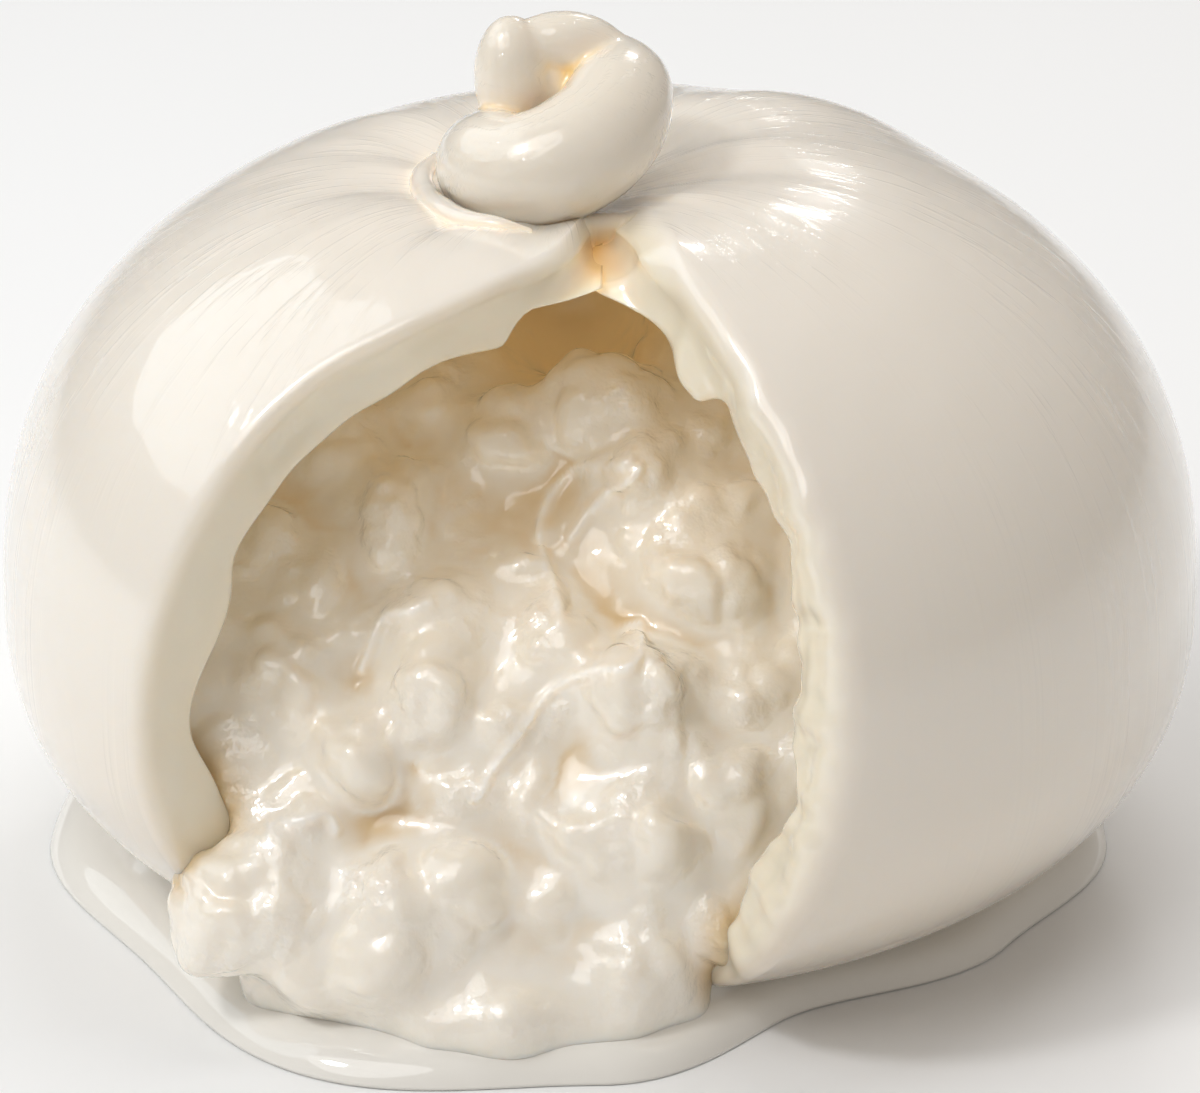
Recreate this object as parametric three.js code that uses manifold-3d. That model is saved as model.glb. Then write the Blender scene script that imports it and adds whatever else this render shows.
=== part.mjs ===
// A burrata cut open at the front: a tied pouch of stretched curd, the stracciatella inside it
// and the cream that has run out round its foot.
// Millimetres, +Z up. The origin is on the table under the middle of the pouch, and the cut faces -Y.

import * as THREE from "three";
import { mergeVertices } from "three/addons/utils/BufferGeometryUtils.js";
import Module from "manifold-3d";

const wasm = await Module();
wasm.setup();

// Pouch: a slumped ball, widest below its middle and cut flat by the table
const HALF_WIDTH = 47.8;
const HALF_DEPTH = 46;
const CROWN_HEIGHT = 61.5;
const BELLY_HEIGHT = 24; // height of the widest ring
const LOWER_DROP = 26.2; // how far below the belly the lower curve would close, past the table
const LOWER_POWER = 2.4; // superellipse powers: 2 is an ellipse, more is squarer
const UPPER_POWER = 2.3;
const WALL = 6.5;
const FOOT_WALL = 5;
const SKIN_SEGMENTS = 60;
const SKIN_RINGS = 32;
const CAVITY_SEGMENTS = 36;
const CAVITY_RINGS = 18;

// Crown: the hollow that the knot stands in, its gathers and the two folds that run out of it
const KNOT_X = -4;
const KNOT_Y = -1;
const HOLLOW_DEPTH = 5;
const HOLLOW_REACH = 12;
const GATHERS = 9;
const GATHER_DEPTH = 0.5;
const GATHER_REACH = 11;
const FOLD_WIDTH = 5;
const FOLD_LENGTH = 10;
const FOLDS = [
  { azimuth: 128, reach: 28, height: 1.3 }, // a ridge towards the back right
  { azimuth: -100, reach: 18, height: -0.6 }, // a faint crease to the left
]; // reach is the distance from the knot to a fold's middle

// Cut: both lips as azimuth in degrees from the front, towards +X, and height on the skin
const LEFT_LIP = [
  [-40, 0],
  [-44, 10],
  [-46.5, 26],
  [-43, 43],
  [-38, 51.5],
  [-29, 55.3],
  [-18, 57.2],
  [-10, 58.6],
  [-8.5, 60.4],
];
const RIGHT_LIP = [
  [7, 60.6],
  [11, 58.2],
  [16.5, 55],
  [20.5, 47],
  [21.5, 35],
  [20, 24],
  [16, 12],
  [12, 0],
];
const LIP_STEPS = 4; // steps between two of those points
const CUT_HEART = new THREE.Vector3(0, 0, 25); // the cut's walls all point at this spot
const CUT_REACH = 2; // how far the cutting cone goes past the skin, as a multiple
const TEAR_DEPTH = 0.45; // the right lip is torn, not sliced
const TEAR_PERIODS = [5.3, 3.1]; // two waves that never fall together

// Knot: a thick band round the front of the neck, and a loop that stands up behind it
const BAND_PATH = [
  [-3.5, 1.5, 53],
  [-7, 0.5, 57.5],
  [-8.4, -4, 60.6],
  [-5.6, -7.4, 61.2],
  [-1, -6.6, 63],
  [1.3, -3.2, 64.9],
  [1.2, 0.8, 65.8],
  [-1.2, 2.4, 66],
  [-4, 1.6, 65.2],
];
const BAND_RADII = [4.6, 4.5, 4.2, 4.6, 4.7, 4.4, 3.6, 2.9, 2.6];
const LOOP_PATH = [
  [0.2, 1.8, 66],
  [-1.3, 2.4, 67.4],
  [-3.4, 2.1, 68.4],
  [-5.6, 1.2, 68.2],
  [-6.9, 0, 66.4],
  [-6.6, -1.4, 63.4],
];
const LOOP_RADII = [2.9, 3, 2.9, 3.2, 3.6, 2.2];
const KNOT_SIDES = 12;
const KNOT_STEPS = 28;
const END_ROUNDING = 0.35; // power of the strands' rounded ends: less is blunter

// Filling: its open face from the table up to the air space under the crown, as depth and height
const FACE = [
  [-41, 0],
  [-36.5, 2],
  [-34.5, 6.5],
  [-31.5, 13],
  [-27, 20.5],
  [-19.5, 30],
  [-10, 38.5],
  [-3, 43.5],
  [4, 48],
  [40, 50],
];
const FACE_HALF_WIDTH = 46;
const FACE_COLUMNS = 12;
const FACE_ROWS = 24;
const FACE_SAMPLES = 160;
const LEFT_SLUMP = 3; // how much lower the filling lies at the left
const SLUMP_X = -22;
const SLUMP_REACH = 12;
const SLUMP_HEIGHT = 25; // the slump fades out below this height
const SPILL_RADIUS = 24; // the filling that has slid out ends on this circle
const SPILL_X = -5.7;
const SPILL_Y = -12.2;
const POCKET = { x: -2, y: 1, z: 45.5, across: 6, along: 8, up: 5.5 }; // air under the knot, half sizes
const POCKET_SEGMENTS = 20;
const POCKET_RINGS = 12;

// Large curds on the face: across and along the table, half width, half height and lean in degrees
const CURDS = [
  [-16.5, -12.5, 4.4, 4.8, 0],
  [-13.5, -6, 3.6, 3.2, 0],
  [-23, -17.5, 3.6, 3.6, 0],
  [-23, -22, 3.4, 4, 0],
  [-12.5, -20.5, 5.8, 4.8, 0],
  [-12.5, -23.5, 4.4, 4, 0],
  [-18, -26.5, 3.6, 3.6, 0],
  [-26, -31.5, 4.4, 4.4, 0],
  [-15.5, -32.5, 7.5, 5.5, 10],
  [-20.5, -33.5, 4, 4.4, 0],
  [-10, -32, 4.8, 3.2, -8],
  [-11.5, -35.5, 2.6, 2.4, 0],
  [2.5, -34, 4.2, 4.2, 0],
  [2.5, -30.5, 6.4, 5.2, 0],
  [4.5, -27.5, 5.2, 3.6, 10],
  [3, -24, 5.2, 3.4, 20],
  [11, -24, 3.6, 3.6, 0],
  [10, -29.5, 3.2, 4.8, 0],
  [9, -19, 5.2, 4, 20],
  [1, -12.5, 6.6, 3, 40],
  [4, -16, 7, 3, 42],
  [-7, -8, 2.2, 4.4, 0],
  [0, -7, 4, 2.6, 20],
  [7, -9.5, 3.6, 3.2, 0],
  [-4.5, -21, 4.8, 3.2, -10],
  [-7.5, -25.5, 4, 4, 0],
];
const CURD_DEPTH_SHARE = 0.85; // depth of a curd as a share of its mean half size
const CURD_SINK = 0.3; // share of that depth by which a curd's middle lies under the face
const SMALL_CURDS = 12;
const SMALL_CURD_SIZES = [1.1, 1.9];
const SMALL_CURD_FLATNESS = 0.8;
const SMALL_CURD_SEED = 7;
const SMALL_CURD_X = [-22, 10]; // the part of the face that they lie on
const SMALL_CURD_Y = [-32, -10];
const CURD_DETAIL = 2; // how often a curd's twenty sides are split
const SMALL_CURD_DETAIL = 1;

// Cream: the pool's reach by azimuth, every 30 degrees from the front towards +X
const POOL_REACH = [40.5, 33, 37, 41.5, 44.5, 44, 42, 43, 45.5, 45, 41.5, 45];
const POOL_LEVEL = 3;
const POOL_SEGMENTS = 48;
const POOL_EDGE = [
  [0, 0],
  [0.965, 0],
  [0.998, 0.22],
  [0.994, 0.5],
  [0.965, 0.76],
  [0.9, 0.93],
  [0.8, 1],
  [0, 1],
]; // share of the reach and of the level, from the table round the rim to the middle
const POOL_HOLE = 28; // clear radius under the pouch, so that the cream has no knife edge

const GAP = 0.3; // clearance between neighbouring pieces
const BELOW_TABLE = -1; // where shapes that only cut begin
const FINEST = 0.02; // edges that change the form by less than this are left out

const radians = THREE.MathUtils.degToRad;

// A closed three.js geometry as a solid for joining and cutting.
function solidOf(geometry) {
  const bare = new THREE.BufferGeometry()
    .setAttribute("position", geometry.getAttribute("position"))
    .setIndex(geometry.getIndex());
  const merged = mergeVertices(bare, 1e-4);
  return new wasm.Manifold(
    new wasm.Mesh({
      numProp: 3,
      vertProperties: new Float32Array(merged.getAttribute("position").array),
      triVerts: dropFlatTriangles(merged.getIndex().array),
    }),
  );
}

// Triangles with two like corners, as at the poles of a sphere, are left out.
function dropFlatTriangles(indices) {
  const kept = [];
  for (let i = 0; i < indices.length; i += 3) {
    const [a, b, c] = [indices[i], indices[i + 1], indices[i + 2]];
    if (a !== b && b !== c && c !== a) kept.push(a, b, c);
  }
  return new Uint32Array(kept);
}

// The largest body of a solid, without the scraps that a cut leaves.
function largestBody(solid) {
  const bodies = solid.simplify(FINEST).decompose();
  return bodies.sort((a, b) => b.volume() - a.volume())[0];
}

// Moves every vertex of a geometry to the point that the function gives for it.
function reshape(geometry, pointFor) {
  const position = geometry.getAttribute("position");
  const vertex = new THREE.Vector3();
  for (let i = 0; i < position.count; i++) {
    const moved = pointFor(vertex.fromBufferAttribute(position, i));
    position.setXYZ(i, moved.x, moved.y, moved.z);
  }
  return geometry;
}

// How much the hollow, the gathers and the folds lower the crown at a spot.
function crownDip(x, y) {
  const away = Math.hypot(x - KNOT_X, y - KNOT_Y);
  const around = Math.atan2(x - KNOT_X, -(y - KNOT_Y));
  const hollow = HOLLOW_DEPTH * Math.exp(-((away / HOLLOW_REACH) ** 2));
  const near = Math.exp(-(((away - GATHER_REACH) / GATHER_REACH) ** 2));
  const gathers = GATHER_DEPTH * Math.cos(GATHERS * around) * near;
  let folds = 0;
  for (const { azimuth, reach, height } of FOLDS) {
    const beside = away * Math.sin(around - radians(azimuth));
    const along = away * Math.cos(around - radians(azimuth));
    folds += height * Math.exp(-((beside / FOLD_WIDTH) ** 2) - ((along - reach) / FOLD_LENGTH) ** 2);
  }
  const settle = Math.min(1, away / GATHER_REACH); // the gathers run out where the knot covers them
  return hollow + settle * gathers - folds;
}

// The skin, or a surface inset from it, in the direction of a point on the unit sphere.
function skinPoint(direction, inset, foot) {
  const latitude = Math.asin(THREE.MathUtils.clamp(direction.z, -1, 1));
  const power = latitude >= 0 ? UPPER_POWER : LOWER_POWER;
  const out = Math.cos(latitude) ** (2 / power);
  const up = Math.abs(Math.sin(latitude)) ** (2 / power);
  const azimuth = Math.atan2(direction.y, direction.x);
  const x = (HALF_WIDTH - inset) * out * Math.cos(azimuth);
  const y = (HALF_DEPTH - inset) * out * Math.sin(azimuth);
  if (latitude < 0) return new THREE.Vector3(x, y, Math.max(foot, BELLY_HEIGHT - LOWER_DROP * up));
  const rise = CROWN_HEIGHT - inset - BELLY_HEIGHT - crownDip(x, y);
  return new THREE.Vector3(x, y, BELLY_HEIGHT + rise * up);
}

function pouchBody(inset, foot, segments, rings) {
  const ball = new THREE.SphereGeometry(1, segments, rings).rotateX(Math.PI / 2);
  return solidOf(reshape(ball, (vertex) => skinPoint(vertex.clone().normalize(), inset, foot)));
}

// The point of the plain skin at an azimuth from the front and a height.
function skinAt([azimuth, height]) {
  const upper = height >= BELLY_HEIGHT;
  const power = upper ? UPPER_POWER : LOWER_POWER;
  const span = upper ? CROWN_HEIGHT - BELLY_HEIGHT : LOWER_DROP;
  const out = (1 - (Math.abs(height - BELLY_HEIGHT) / span) ** power) ** (1 / power);
  const turn = radians(azimuth);
  return new THREE.Vector3(HALF_WIDTH * out * Math.sin(turn), -HALF_DEPTH * out * Math.cos(turn), height);
}

// One lip of the cut as points on the skin.
function lipPoints(lip) {
  const curve = new THREE.CatmullRomCurve3(lip.map(skinAt), false, "centripetal");
  return curve.getPoints((lip.length - 1) * LIP_STEPS);
}

// The cone that opens the pouch: from the heart of the pouch out through both lips.
function cutCone(shrink) {
  const torn = lipPoints(RIGHT_LIP).map((point) => {
    const waves = TEAR_PERIODS.map((period) => Math.sin((2 * Math.PI * point.z) / period));
    return point.add(new THREE.Vector3(TEAR_DEPTH * (waves[0] + waves[1]), 0, 0));
  });
  const rim = [...lipPoints(LEFT_LIP), ...torn];
  const middle = rim.reduce((sum, point) => sum.add(point), new THREE.Vector3()).divideScalar(rim.length);
  const reach = (point) => {
    const inwards = middle.clone().sub(point).setLength(shrink);
    return point.clone().add(inwards).sub(CUT_HEART).multiplyScalar(CUT_REACH).add(CUT_HEART);
  };
  const cone = new THREE.ConeGeometry(1, 1, rim.length);
  return solidOf(
    reshape(cone, (vertex) => {
      if (vertex.y > 0) return CUT_HEART;
      if (Math.hypot(vertex.x, vertex.z) < 0.5) return reach(middle);
      const share = Math.atan2(vertex.x, vertex.z) / (2 * Math.PI);
      const index = Math.round(share * rim.length + 2 * rim.length) % rim.length;
      return reach(rim[index]);
    }),
  );
}

// A round strand along a path, thick as the radii say, with rounded ends.
function strand(path, radii) {
  const curve = new THREE.CatmullRomCurve3(path.map((point) => new THREE.Vector3(...point)));
  const frames = curve.computeFrenetFrames(KNOT_STEPS, false);
  const ball = new THREE.SphereGeometry(1, KNOT_SIDES, KNOT_STEPS);
  return solidOf(
    reshape(ball, (vertex) => {
      const polar = Math.acos(THREE.MathUtils.clamp(vertex.y, -1, 1));
      const step = Math.round((polar / Math.PI) * KNOT_STEPS);
      const share = step / KNOT_STEPS;
      const place = share * (radii.length - 1);
      const before = Math.min(Math.floor(place), radii.length - 2);
      const radius = THREE.MathUtils.lerp(radii[before], radii[before + 1], place - before);
      const width = radius * Math.max(0, Math.sin(polar)) ** END_ROUNDING;
      const around = Math.atan2(vertex.z, vertex.x);
      return curve
        .getPointAt(share)
        .addScaledVector(frames.normals[step], width * Math.cos(around))
        .addScaledVector(frames.binormals[step], width * Math.sin(around));
    }),
  );
}

function knot() {
  return strand(BAND_PATH, BAND_RADII).add(strand(LOOP_PATH, LOOP_RADII));
}

function pouch() {
  const skin = pouchBody(0, 0, SKIN_SEGMENTS, SKIN_RINGS);
  const cavity = pouchBody(WALL, FOOT_WALL, CAVITY_SEGMENTS, CAVITY_RINGS);
  const tied = skin.add(knot());
  return largestBody(tied.subtract(cavity).subtract(cutCone(0)));
}

// The pouch with its surfaces moved out by the clearance, to cut its neighbours with.
function pouchWithClearance() {
  const skin = pouchBody(-GAP, BELOW_TABLE, SKIN_SEGMENTS, SKIN_RINGS);
  const cavity = pouchBody(WALL + GAP, FOOT_WALL + GAP, CAVITY_SEGMENTS, CAVITY_RINGS);
  return skin.subtract(cavity).subtract(cutCone(2 * GAP));
}

// Height of the filling's face over a spot of the table.
const faceCurve = new THREE.CatmullRomCurve3(
  FACE.map(([depth, height]) => new THREE.Vector3(0, depth, height)),
  false,
  "centripetal",
).getPoints(FACE_SAMPLES);

function faceHeight(x, y) {
  const next = faceCurve.findIndex((point) => point.y >= y);
  if (next < 0) return faceCurve[faceCurve.length - 1].z;
  if (next === 0) return 0;
  const [a, b] = [faceCurve[next - 1], faceCurve[next]];
  const middle = THREE.MathUtils.lerp(a.z, b.z, (y - a.y) / (b.y - a.y));
  const slump = LEFT_SLUMP * Math.exp(-(((x - SLUMP_X) / SLUMP_REACH) ** 2));
  return Math.max(0, middle - slump * Math.min(1, middle / SLUMP_HEIGHT));
}

// The bare filling as a block whose top is the face.
function fillingCore(grow) {
  const depth = HALF_DEPTH - FACE[0][0];
  const block = new THREE.BoxGeometry(2 * FACE_HALF_WIDTH, depth, 1, FACE_COLUMNS, FACE_ROWS, 1);
  return solidOf(
    reshape(block, (vertex) => {
      const y = vertex.y + depth / 2 + FACE[0][0];
      const z = vertex.z > 0 ? faceHeight(vertex.x, y) + grow : BELOW_TABLE;
      return new THREE.Vector3(vertex.x, y, z);
    }),
  );
}

// One lump of curd, bedded in the face.
function curd(x, y, halfWidth, halfHeight, lean, detail, grow) {
  const depth = CURD_DEPTH_SHARE * 0.5 * (halfWidth + halfHeight);
  const ball = new THREE.IcosahedronGeometry(1, detail);
  ball.scale(halfWidth + grow, depth + grow, halfHeight + grow);
  ball.rotateY(-radians(lean));
  ball.translate(x, y + CURD_SINK * depth, faceHeight(x, y));
  return solidOf(ball);
}

// A repeatable stream of numbers from 0 to 1.
function seededNumbers(seed) {
  let state = seed;
  return () => {
    state = (state * 1103515245 + 12345) % 2147483648;
    return state / 2147483648;
  };
}

function curds(grow) {
  const next = seededNumbers(SMALL_CURD_SEED);
  const lumps = CURDS.map((row) => curd(...row, CURD_DETAIL, grow));
  for (let i = 0; i < SMALL_CURDS; i++) {
    const x = THREE.MathUtils.lerp(...SMALL_CURD_X, next());
    const y = THREE.MathUtils.lerp(...SMALL_CURD_Y, (i + next()) / SMALL_CURDS);
    const size = THREE.MathUtils.lerp(...SMALL_CURD_SIZES, next());
    lumps.push(curd(x, y, size, SMALL_CURD_FLATNESS * size, 90 * next(), SMALL_CURD_DETAIL, grow));
  }
  return wasm.Manifold.union(lumps);
}

// An upright round column through the table.
function column(radius, x, y) {
  const round = new THREE.CylinderGeometry(radius, radius, 2 * CROWN_HEIGHT, POOL_SEGMENTS);
  return solidOf(round.rotateX(Math.PI / 2).translate(x, y, 0));
}

// Core and curds; the core ends at the pouch's inside or, in the cut, on the spill's circle.
function fillingMass(grow) {
  const inside = pouchBody(WALL + GAP, FOOT_WALL + GAP, CAVITY_SEGMENTS, CAVITY_RINGS);
  const room = inside.add(cutCone(2 * GAP).intersect(column(SPILL_RADIUS + grow, SPILL_X, SPILL_Y)));
  const mass = fillingCore(grow).intersect(room).add(curds(grow).subtract(pouchWithClearance()));
  return mass.trimByPlane([0, 0, 1], 0);
}

function filling() {
  const bubble = new THREE.SphereGeometry(1, POCKET_SEGMENTS, POCKET_RINGS);
  bubble.scale(POCKET.across, POCKET.along, POCKET.up).translate(POCKET.x, POCKET.y, POCKET.z);
  return largestBody(fillingMass(0).subtract(solidOf(bubble)));
}

// How far the pool reaches at an azimuth from the front.
function poolReach(azimuth) {
  const count = POOL_REACH.length;
  const place = ((azimuth / (2 * Math.PI)) * count + count) % count;
  const before = Math.floor(place) % count;
  const ease = 0.5 - 0.5 * Math.cos(Math.PI * (place - Math.floor(place)));
  return THREE.MathUtils.lerp(POOL_REACH[before], POOL_REACH[(before + 1) % count], ease);
}

function creamPool() {
  const profile = POOL_EDGE.map(([out, up]) => new THREE.Vector2(out, up));
  const disc = new THREE.LatheGeometry(profile, POOL_SEGMENTS).rotateX(Math.PI / 2);
  const puddle = solidOf(
    reshape(disc, (vertex) => {
      const reach = poolReach(Math.atan2(vertex.x, -vertex.y));
      return new THREE.Vector3(vertex.x * reach, vertex.y * reach, vertex.z * POOL_LEVEL);
    }),
  );
  const skin = pouchBody(-GAP, BELOW_TABLE, SKIN_SEGMENTS, SKIN_RINGS);
  const taken = skin.add(fillingMass(GAP)).add(column(POOL_HOLE, 0, 0));
  return largestBody(puddle.subtract(taken));
}

// A solid as a named mesh with its own finish.
function piece(name, solid, finish) {
  const mesh = solid.getMesh();
  const geometry = new THREE.BufferGeometry()
    .setAttribute("position", new THREE.BufferAttribute(mesh.vertProperties, mesh.numProp))
    .setIndex(new THREE.BufferAttribute(mesh.triVerts, 1));
  geometry.computeVertexNormals();
  const made = new THREE.Mesh(geometry, new THREE.MeshStandardMaterial({ metalness: 0, ...finish }));
  made.name = name;
  return made;
}

const burrata = new THREE.Group();
burrata.add(piece("pouch", pouch(), { color: 0xf3efe6, roughness: 0.3 }));
burrata.add(piece("filling", filling(), { color: 0xf1ead9, roughness: 0.25 }));
burrata.add(piece("cream_pool", creamPool(), { color: 0xf6f3ea, roughness: 0.12 }));

export default burrata;
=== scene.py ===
"""A burrata cut open at the front: tied skin, curd filling and run-out cream, dressed for the studio.

The file is laid out as an add-on. The tables hold millimetres and degrees, the settings hold metres.
The cut faces -Y, +Z is up, and an azimuth is counted from the front towards +X.
"""

import math

import bpy
import numpy as np
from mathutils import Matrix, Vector, noise
from mathutils.bvhtree import BVHTree


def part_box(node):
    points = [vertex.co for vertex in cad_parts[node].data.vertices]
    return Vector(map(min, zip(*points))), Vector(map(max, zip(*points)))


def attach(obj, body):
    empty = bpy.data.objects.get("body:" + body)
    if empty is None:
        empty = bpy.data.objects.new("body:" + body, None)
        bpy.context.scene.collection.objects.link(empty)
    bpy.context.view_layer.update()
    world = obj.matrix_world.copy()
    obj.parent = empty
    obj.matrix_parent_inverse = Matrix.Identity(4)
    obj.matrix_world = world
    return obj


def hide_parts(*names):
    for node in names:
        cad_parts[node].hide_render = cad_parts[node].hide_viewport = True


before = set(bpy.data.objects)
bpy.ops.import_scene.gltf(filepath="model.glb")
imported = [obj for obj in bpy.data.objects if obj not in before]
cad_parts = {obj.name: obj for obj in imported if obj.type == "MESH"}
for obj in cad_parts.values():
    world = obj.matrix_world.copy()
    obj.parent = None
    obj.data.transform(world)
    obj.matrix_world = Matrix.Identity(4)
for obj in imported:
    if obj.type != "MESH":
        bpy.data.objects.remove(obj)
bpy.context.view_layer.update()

bl_info = {
    "name": "Cut Burrata",
    "version": (1, 0, 0),
    "blender": (4, 5, 0),
    "location": "View3D > Sidebar > Burrata",
    "description": "Models a burrata cut open at the front, its curd filling and its cream",
    "category": "Add Mesh",
}

MM = 0.001
TINY = 1e-6
POUCH_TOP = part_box("pouch")[1]
POOL_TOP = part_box("cream_pool")[1]

# Pouch: a slumped ball whose halves are superellipses, a power of 2 being an ellipse
LOWER_DROP = 26.2
LOWER_POWER = 2.4
UPPER_POWER = 2.3
FOOT_WALL = 5
WALL_SWING = 0.4
WALL_SWING_SIZE = 8

# Crown: the hollow that the knot stands in, its gathers, and folds as azimuth, reach and height
KNOT_X = -4
KNOT_Y = -1
HOLLOW_DEPTH = 5
HOLLOW_REACH = 12
GATHERS = 9
GATHER_DEPTH = 0.25
GATHER_REACH = 11
FOLDS = [(128, 28, 1.3), (-100, 18, -0.6)]
FOLD_WIDTH = 5
FOLD_LENGTH = 10

# Cut: both lips as azimuth and height on the skin, and the way that the opening faces
LEFT_LIP = [
    (-40, 0), (-44, 10), (-46.5, 26), (-43, 43), (-38, 51.5),
    (-29, 55.3), (-17, 58.1), (-10, 59.7), (-7, 61),
]
RIGHT_LIP = [
    (18, 61), (14.8, 58.6), (17.5, 55), (20.5, 47), (21.5, 35), (20, 24), (16, 12), (12, 0),
]
LIP_STEPS = 24
OPENING_AZIMUTH = -5
OPENING_ELEVATION = 8

# Torn lip: waves of its edge, and nodules as places with sizes
TORN_FROM_X = (-3, 5)
TEAR_DEPTH = 0.12
TEAR_PERIODS = (5.3, 3.1)
NODULES = [
    (2.1, -20, 54.1, 1.5), (3.9, -20.7, 52.8, 1.3), (5.9, -21.2, 51.3, 1.9), (7.6, -23.2, 50, 1.4),
]

# Roughness of the cut: size, shift, depth where it was sliced, and depth added where it tore
CUT_RELIEF = [(5.5, 0, 0.25, 0.4), (2.2, 7, 0.05, 0.15)]
CUT_RELIEF_RUN = 0.85

# Slit: where both lips close under the knot
SLIT_X = -0.4
SLIT_OVERLAP = 0.6
SLIT_FROM = 57.4
SLIT_TO = 59.4
SLIT_THINNING = 0.45
THIN_FROM_LEFT = (57.3, 58.3)

# Skin: swells, the wrinkles and streaks that run to the knot, and heights where shade and a glow are
# painted on it
SWELL = 0.12
SWELL_SIZE = 9
FINE_SWELL = 0.048
FINE_SWELL_SIZE = 3
RELIEF_RISE = 20
WRINKLE_REACH = 14
WRINKLE_SPREAD = 12
WRINKLE_STRETCH = (0.22, 0.22, 0.6)
STREAK_FINENESS = 40
STREAK_LENGTH = 6
# Painted shade: the skin darkens from the first height down to the second
LOW_SHADE_FROM = (36, 2)
CEILING_HEIGHTS = (44, 50)
GROOVE_HEIGHTS = (59.2, 60.3)

# Mesh of the pouch: columns along the lip, and rings from the back, over the lip, to the inside
COLUMNS = 400
OUTER_RINGS = 104
LIP_RINGS = 10
FACE_RINGS = 16
INNER_LIP_RINGS = 6
INNER_RINGS = 34
RING_CROWDING = 1.7

# Knot: a band round the front of the neck and a loop behind it, as places and radii
BAND_PATH = [
    (-3.5, 1.5, 53), (-7, 0.5, 57.5), (-8.4, -4, 60.6), (-5.6, -7.4, 61.2), (-1, -6.6, 63),
    (1.3, -3.2, 64.9), (1.2, 0.8, 65.8), (-1.2, 2.4, 66), (-4, 1.6, 65.2),
]
BAND_RADII = [4.6, 4.5, 4.2, 4.6, 4.7, 4.4, 3.6, 2.9, 2.6]
LOOP_PATH = [(1.2, 1.2, 65.2), (-0.4, 1.2, 67.8), (-2.4, 0.8, 68.8), (-4.4, 0.6, 68.8), (-6, 0.2, 67.9)]
LOOP_RADII = [2.8, 2.6, 2.5, 2.3, 2.4]
KNOT_LOBE = ((-6.9, -0.4, 66.6), (2.9, 3, 4.8))
KNOT_CORE = ((-3.9, 0.4, 65.8), (2, 2.2, 3.2))
KNOT_STRANDS = ((BAND_PATH, BAND_RADII), (LOOP_PATH, LOOP_RADII))
KNOT_ROUNDS = 8
CREASE_ROUNDS = 40
CREASE_DEPTHS = (0.08, 0.55)
STRAND_LINE_STEPS = 12
STRAND_STREAK_FINENESS = 6
STRAND_STREAK_LENGTH = 8

# Collar: the rim of skin round the foot of the knot, as x and y, with its radii
COLLAR_LINE = [
    (-13, 4.6), (-13.9, 0), (-13.4, -4), (-12.1, -8), (-10.2, -11), (-7.8, -13), (-5.4, -13.4),
]
COLLAR_RADII = [0.5, 0.9, 1.1, 1.1, 1, 0.7, 0.3]
COLLAR_DROP_FROM = 100

# Mesh of strands, balls and melted bodies
STRAND_SIDES = 10
STRAND_STEPS = 16
BALL_DETAIL = 4
SMOOTHING = 0.5

# Small curds: drawn from a seed, cast on the face of the filling from the front, and sunk in
CURD_SEED = 11
CURD_TRIES = 260
CURD_X = (-30, 10)
CURD_Z = (3, 44)
CURD_SIZES = (2.4, 4.6)
CURD_STRETCH = (0.8, 1.25)
CURD_FROM_Y = -80
CURD_SINK = 0.4
CURD_DETAIL = 3
FUSE_ROUNDS = 20

# Lumps: the sway that bends curds out of round, and the bumps on those that show
SWAY_SEED = 1
SWAY = 1.3
SWAY_SIZE = 6.5
LUMP_SIZES = (3.8, 2.1)
LUMP_SHARES = (1.8, 2)
LUMP_SHIFT = 5
LUMP_MEAN = 0.6
LUMP_BLEND = 9
SHOWN_Y = (15, 5)

# Foot of the filling: pinched beside the right lip, spread and smoothed at the front
FOOT_PINCH = 1.6
PINCH_X = (5.5, 11)
PINCH_Y = (-27, -33)
PINCH_Z = (15, 8)
FOOT_HEIGHTS = (11, 3)
FOOT_FLARE = 2.2
FOOT_MIDDLE = (-8, -8)
FOOT_FRONT_Y = (-22, -30)
FOOT_ROUNDS = 14
FOOT_LIFT = 0.05

# Cream between the curds: it bridges narrow gaps, fills hollows and smooths what it wets
CREAM_BRIDGE = 0.6
CREAM_BRIDGE_ROUNDS = 10
CREAM_ROUNDS = 60
CREAM_FILL = 0.5
WET_DEPTHS = (0, 0.4)
WET_ROUNDS = 8
DRY_SHARE = 0.15

# Painted shade and glow of the filling: golden shade in the gaps, at the seam with the skin and in the
# air pocket, and a glow as if light came through the wall
GAP_ROUNDS = 300
GAP_DEPTHS = (0.3, 1.8)
SEAM_REACH = 1.8
POCKET_MIDDLE = (-2, 1, 45.5)
POCKET_REACHES = (11, 5)
THROUGH_WALL = 0.8
THROUGH_WALL_Y = (-34, -16)

# Film: runs of the raised edges of the cream film over the curds, as x and height
FILM_EDGES = [
    [(2.4, 40.8), (-0.8, 39), (-4.2, 35.8), (-4.6, 33.8), (-3.1, 31)],
    [(3, 40.2), (0.4, 37.4), (-2.2, 34.2)],
    [(-13, 31.5), (-16.4, 30), (-18.2, 26.4)],
    [(3.1, 29.2), (-1.2, 27.6), (-4.6, 25), (-7.5, 21.5), (-9.3, 18.8)],
    [(-25, 16.6), (-22.6, 17.4), (-20.8, 17.4), (-20.1, 16.4)],
]
FILM_STEPS = 12
FILM_ZONE = 1.3
FILM_WIDTH = 0.36
FILM_HEIGHT = 0.42

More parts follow.
